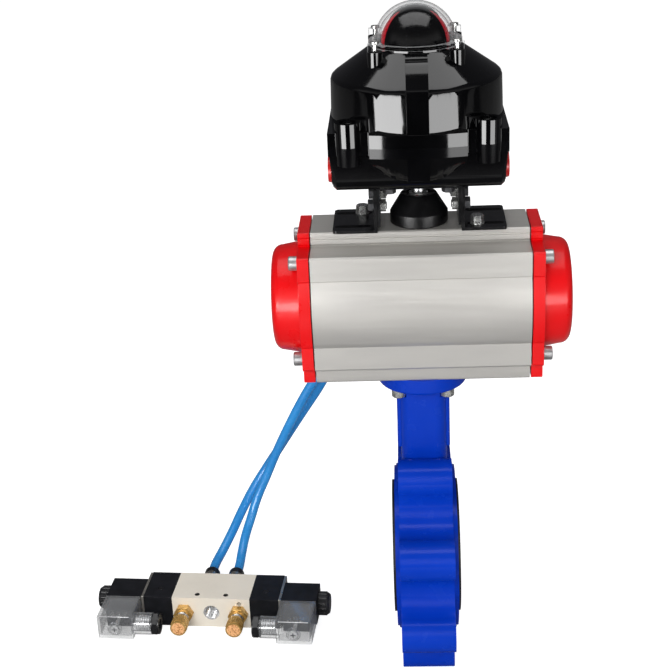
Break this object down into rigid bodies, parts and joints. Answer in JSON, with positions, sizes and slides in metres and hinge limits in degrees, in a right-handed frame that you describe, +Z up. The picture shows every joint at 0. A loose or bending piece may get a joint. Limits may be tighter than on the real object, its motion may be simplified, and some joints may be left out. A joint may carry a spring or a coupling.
{
  "type": "rotary pneumatic actuator",
  "caption": "Lug butterfly valve turned by a double-acting rack-and-pinion pneumatic actuator, with a domed limit-switch box on top and a solenoid valve joined to it by air tubes.",
  "frame": {"origin": "centre of the butterfly valve's bore, on the axis of its stem", "axes": "+X along the pipe, +Y towards the back of the actuator where the air ports are, +Z up the stem towards the switch box's dome"},
  "size_m": [0.3757, 0.2584, 0.5049],
  "materials": {
    "valve_paint": "gloss blue epoxy over ductile iron",
    "seat_rubber": "satin black rubber",
    "bearing_bronze": "machined bronze",
    "seal_rubber": "matte black rubber",
    "zinc_steel": "bright zinc-plated steel",
    "dark_steel": "dark plated steel",
    "cap_bolt_steel": "matte stainless steel",
    "disc_metal": "machined and polished stainless steel",
    "stem_steel": "ground stainless steel",
    "body_anodised": "satin hard-anodised extrusion",
    "cap_paint": "gloss red coating over cast aluminium",
    "bush_polymer": "natural acetal",
    "band_polymer": "dark acetal",
    "pinion_steel": "nickel-plated alloy steel",
    "piston_metal": "die-cast aluminium",
    "puck_plastic": "satin black plastic",
    "fitting_metal": "nickel-plated brass",
    "collar_plastic": "black plastic",
    "bracket_paint": "gloss black powder coat over steel",
    "box_plastic": "deep gloss black",
    "dome_clear": "clear polycarbonate",
    "mask_plastic": "gloss black plastic",
    "drum_red": "gloss red plastic",
    "shaft_steel": "stainless steel",
    "cam_plastic": "yellow plastic",
    "switch_plastic": "black thermoset",
    "terminal_plastic": "cream plastic",
    "plug_plastic": "red plastic",
    "valve_block": "champagne satin anodised block",
    "pilot_plastic": "black filled nylon",
    "armature_steel": "plated steel",
    "coil_plastic": "black moulded coil",
    "connector_clear": "clear polycarbonate",
    "connector_core": "dark plastic terminal block",
    "throttle_brass": "machined brass",
    "button_plastic": "black plastic",
    "tube_blue": "blue polyurethane tube"
  },
  "bodies": {
    "unit": {"valve_body": "valve_paint", "seat_liner": "seat_rubber", "stem_bushes": "bearing_bronze", "stem_seals": "seal_rubber", "flange_bolts": "zinc_steel", "actuator_body": "body_anodised", "end_cap_left": "cap_paint", "end_cap_right": "cap_paint", "cap_bolts": "cap_bolt_steel", "cap_gaskets": "seal_rubber", "pinion_bushes": "bush_polymer", "stop_bolts": "zinc_steel", "push_in_fittings": "fitting_metal", "release_collars": "collar_plastic", "bracket_feet": "bracket_paint", "bracket_bridge": "bracket_paint", "foot_screws": "zinc_steel", "bracket_bolts": "dark_steel", "bracket_nuts": "zinc_steel", "box_base": "box_plastic", "box_cover": "box_plastic", "box_gasket": "seal_rubber", "cover_screws": "zinc_steel", "dome_cover": "dome_clear", "dome_screws": "zinc_steel", "dome_mask": "mask_plastic", "limit_switches": "switch_plastic", "terminal_strip": "terminal_plastic", "entry_plugs": "plug_plastic", "solenoid_body": "valve_block", "pilot_blocks": "pilot_plastic", "armature_tubes": "armature_steel", "coils": "coil_plastic", "coil_nuts": "coil_plastic", "connectors": "connector_clear", "connector_cores": "connector_core", "gland_nuts": "coil_plastic", "throttle_bodies": "throttle_brass", "air_tube_a": "tube_blue", "air_tube_b": "tube_blue"},
    "drive_train": {"disc": "disc_metal", "disc_pins": "stem_steel", "stem": "stem_steel", "pinion": "pinion_steel", "pinion_circlip": "zinc_steel", "position_puck": "puck_plastic", "indicator_drum": "drum_red", "switch_shaft": "shaft_steel", "switch_cams": "cam_plastic"},
    "left_piston": {"piston_left": "piston_metal", "piston_bands_left": "band_polymer"},
    "right_piston": {"piston_right": "piston_metal", "piston_bands_right": "band_polymer"},
    "spool_body": {"spool": "stem_steel"},
    "left_plunger": {"plunger_left": "armature_steel"},
    "right_plunger": {"plunger_right": "armature_steel"},
    "left_throttle": {"throttle_drum_left": "throttle_brass"},
    "right_throttle": {"throttle_drum_right": "throttle_brass"},
    "left_override": {"override_left": "button_plastic"},
    "right_override": {"override_right": "button_plastic"}
  },
  "joints": [
    {"name": "pinion_turn", "type": "hinge", "parent": "unit", "child": "drive_train", "pos_m": [0, 0, 0.2081], "axis": [0, 0, 1], "range_deg": [0, 90]},
    {"name": "left_piston_slide", "type": "slide", "parent": "unit", "child": "left_piston", "axis": [-1, 0, 0], "range_m": [0, 0.02514]},
    {"name": "right_piston_slide", "type": "slide", "parent": "unit", "child": "right_piston", "axis": [1, 0, 0], "range_m": [0, 0.02514]},
    {"name": "spool_shift", "type": "slide", "parent": "unit", "child": "spool_body", "axis": [0.9969, -0.0785, 0], "range_m": [0, 0.004]},
    {"name": "left_plunger_pull", "type": "slide", "parent": "unit", "child": "left_plunger", "axis": [-0.9969, 0.0785, 0], "range_m": [0, 0.001], "stiffness_N_per_m": 600},
    {"name": "right_plunger_pull", "type": "slide", "parent": "unit", "child": "right_plunger", "axis": [0.9969, -0.0785, 0], "range_m": [0, 0.001], "stiffness_N_per_m": 600},
    {"name": "left_throttle_turn", "type": "hinge", "parent": "unit", "child": "left_throttle", "pos_m": [-0.19891, 0.01221, -0.07491], "axis": [-0.0785, -0.9969, 0], "range_deg": [-180, 180]},
    {"name": "right_throttle_turn", "type": "hinge", "parent": "unit", "child": "right_throttle", "pos_m": [-0.15404, 0.00868, -0.07491], "axis": [-0.0785, -0.9969, 0], "range_deg": [-180, 180]},
    {"name": "left_override_press", "type": "slide", "parent": "unit", "child": "left_override", "axis": [0, 0, -1], "range_m": [0, 0.0012], "stiffness_N_per_m": 500},
    {"name": "right_override_press", "type": "slide", "parent": "unit", "child": "right_override", "axis": [0, 0, -1], "range_m": [0, 0.0012], "stiffness_N_per_m": 500}
  ],
  "couplings": [
    {"joint": "left_piston_slide", "follows": "pinion_turn", "m_per_rad": 0.016},
    {"joint": "right_piston_slide", "follows": "pinion_turn", "m_per_rad": 0.016}
  ]
}
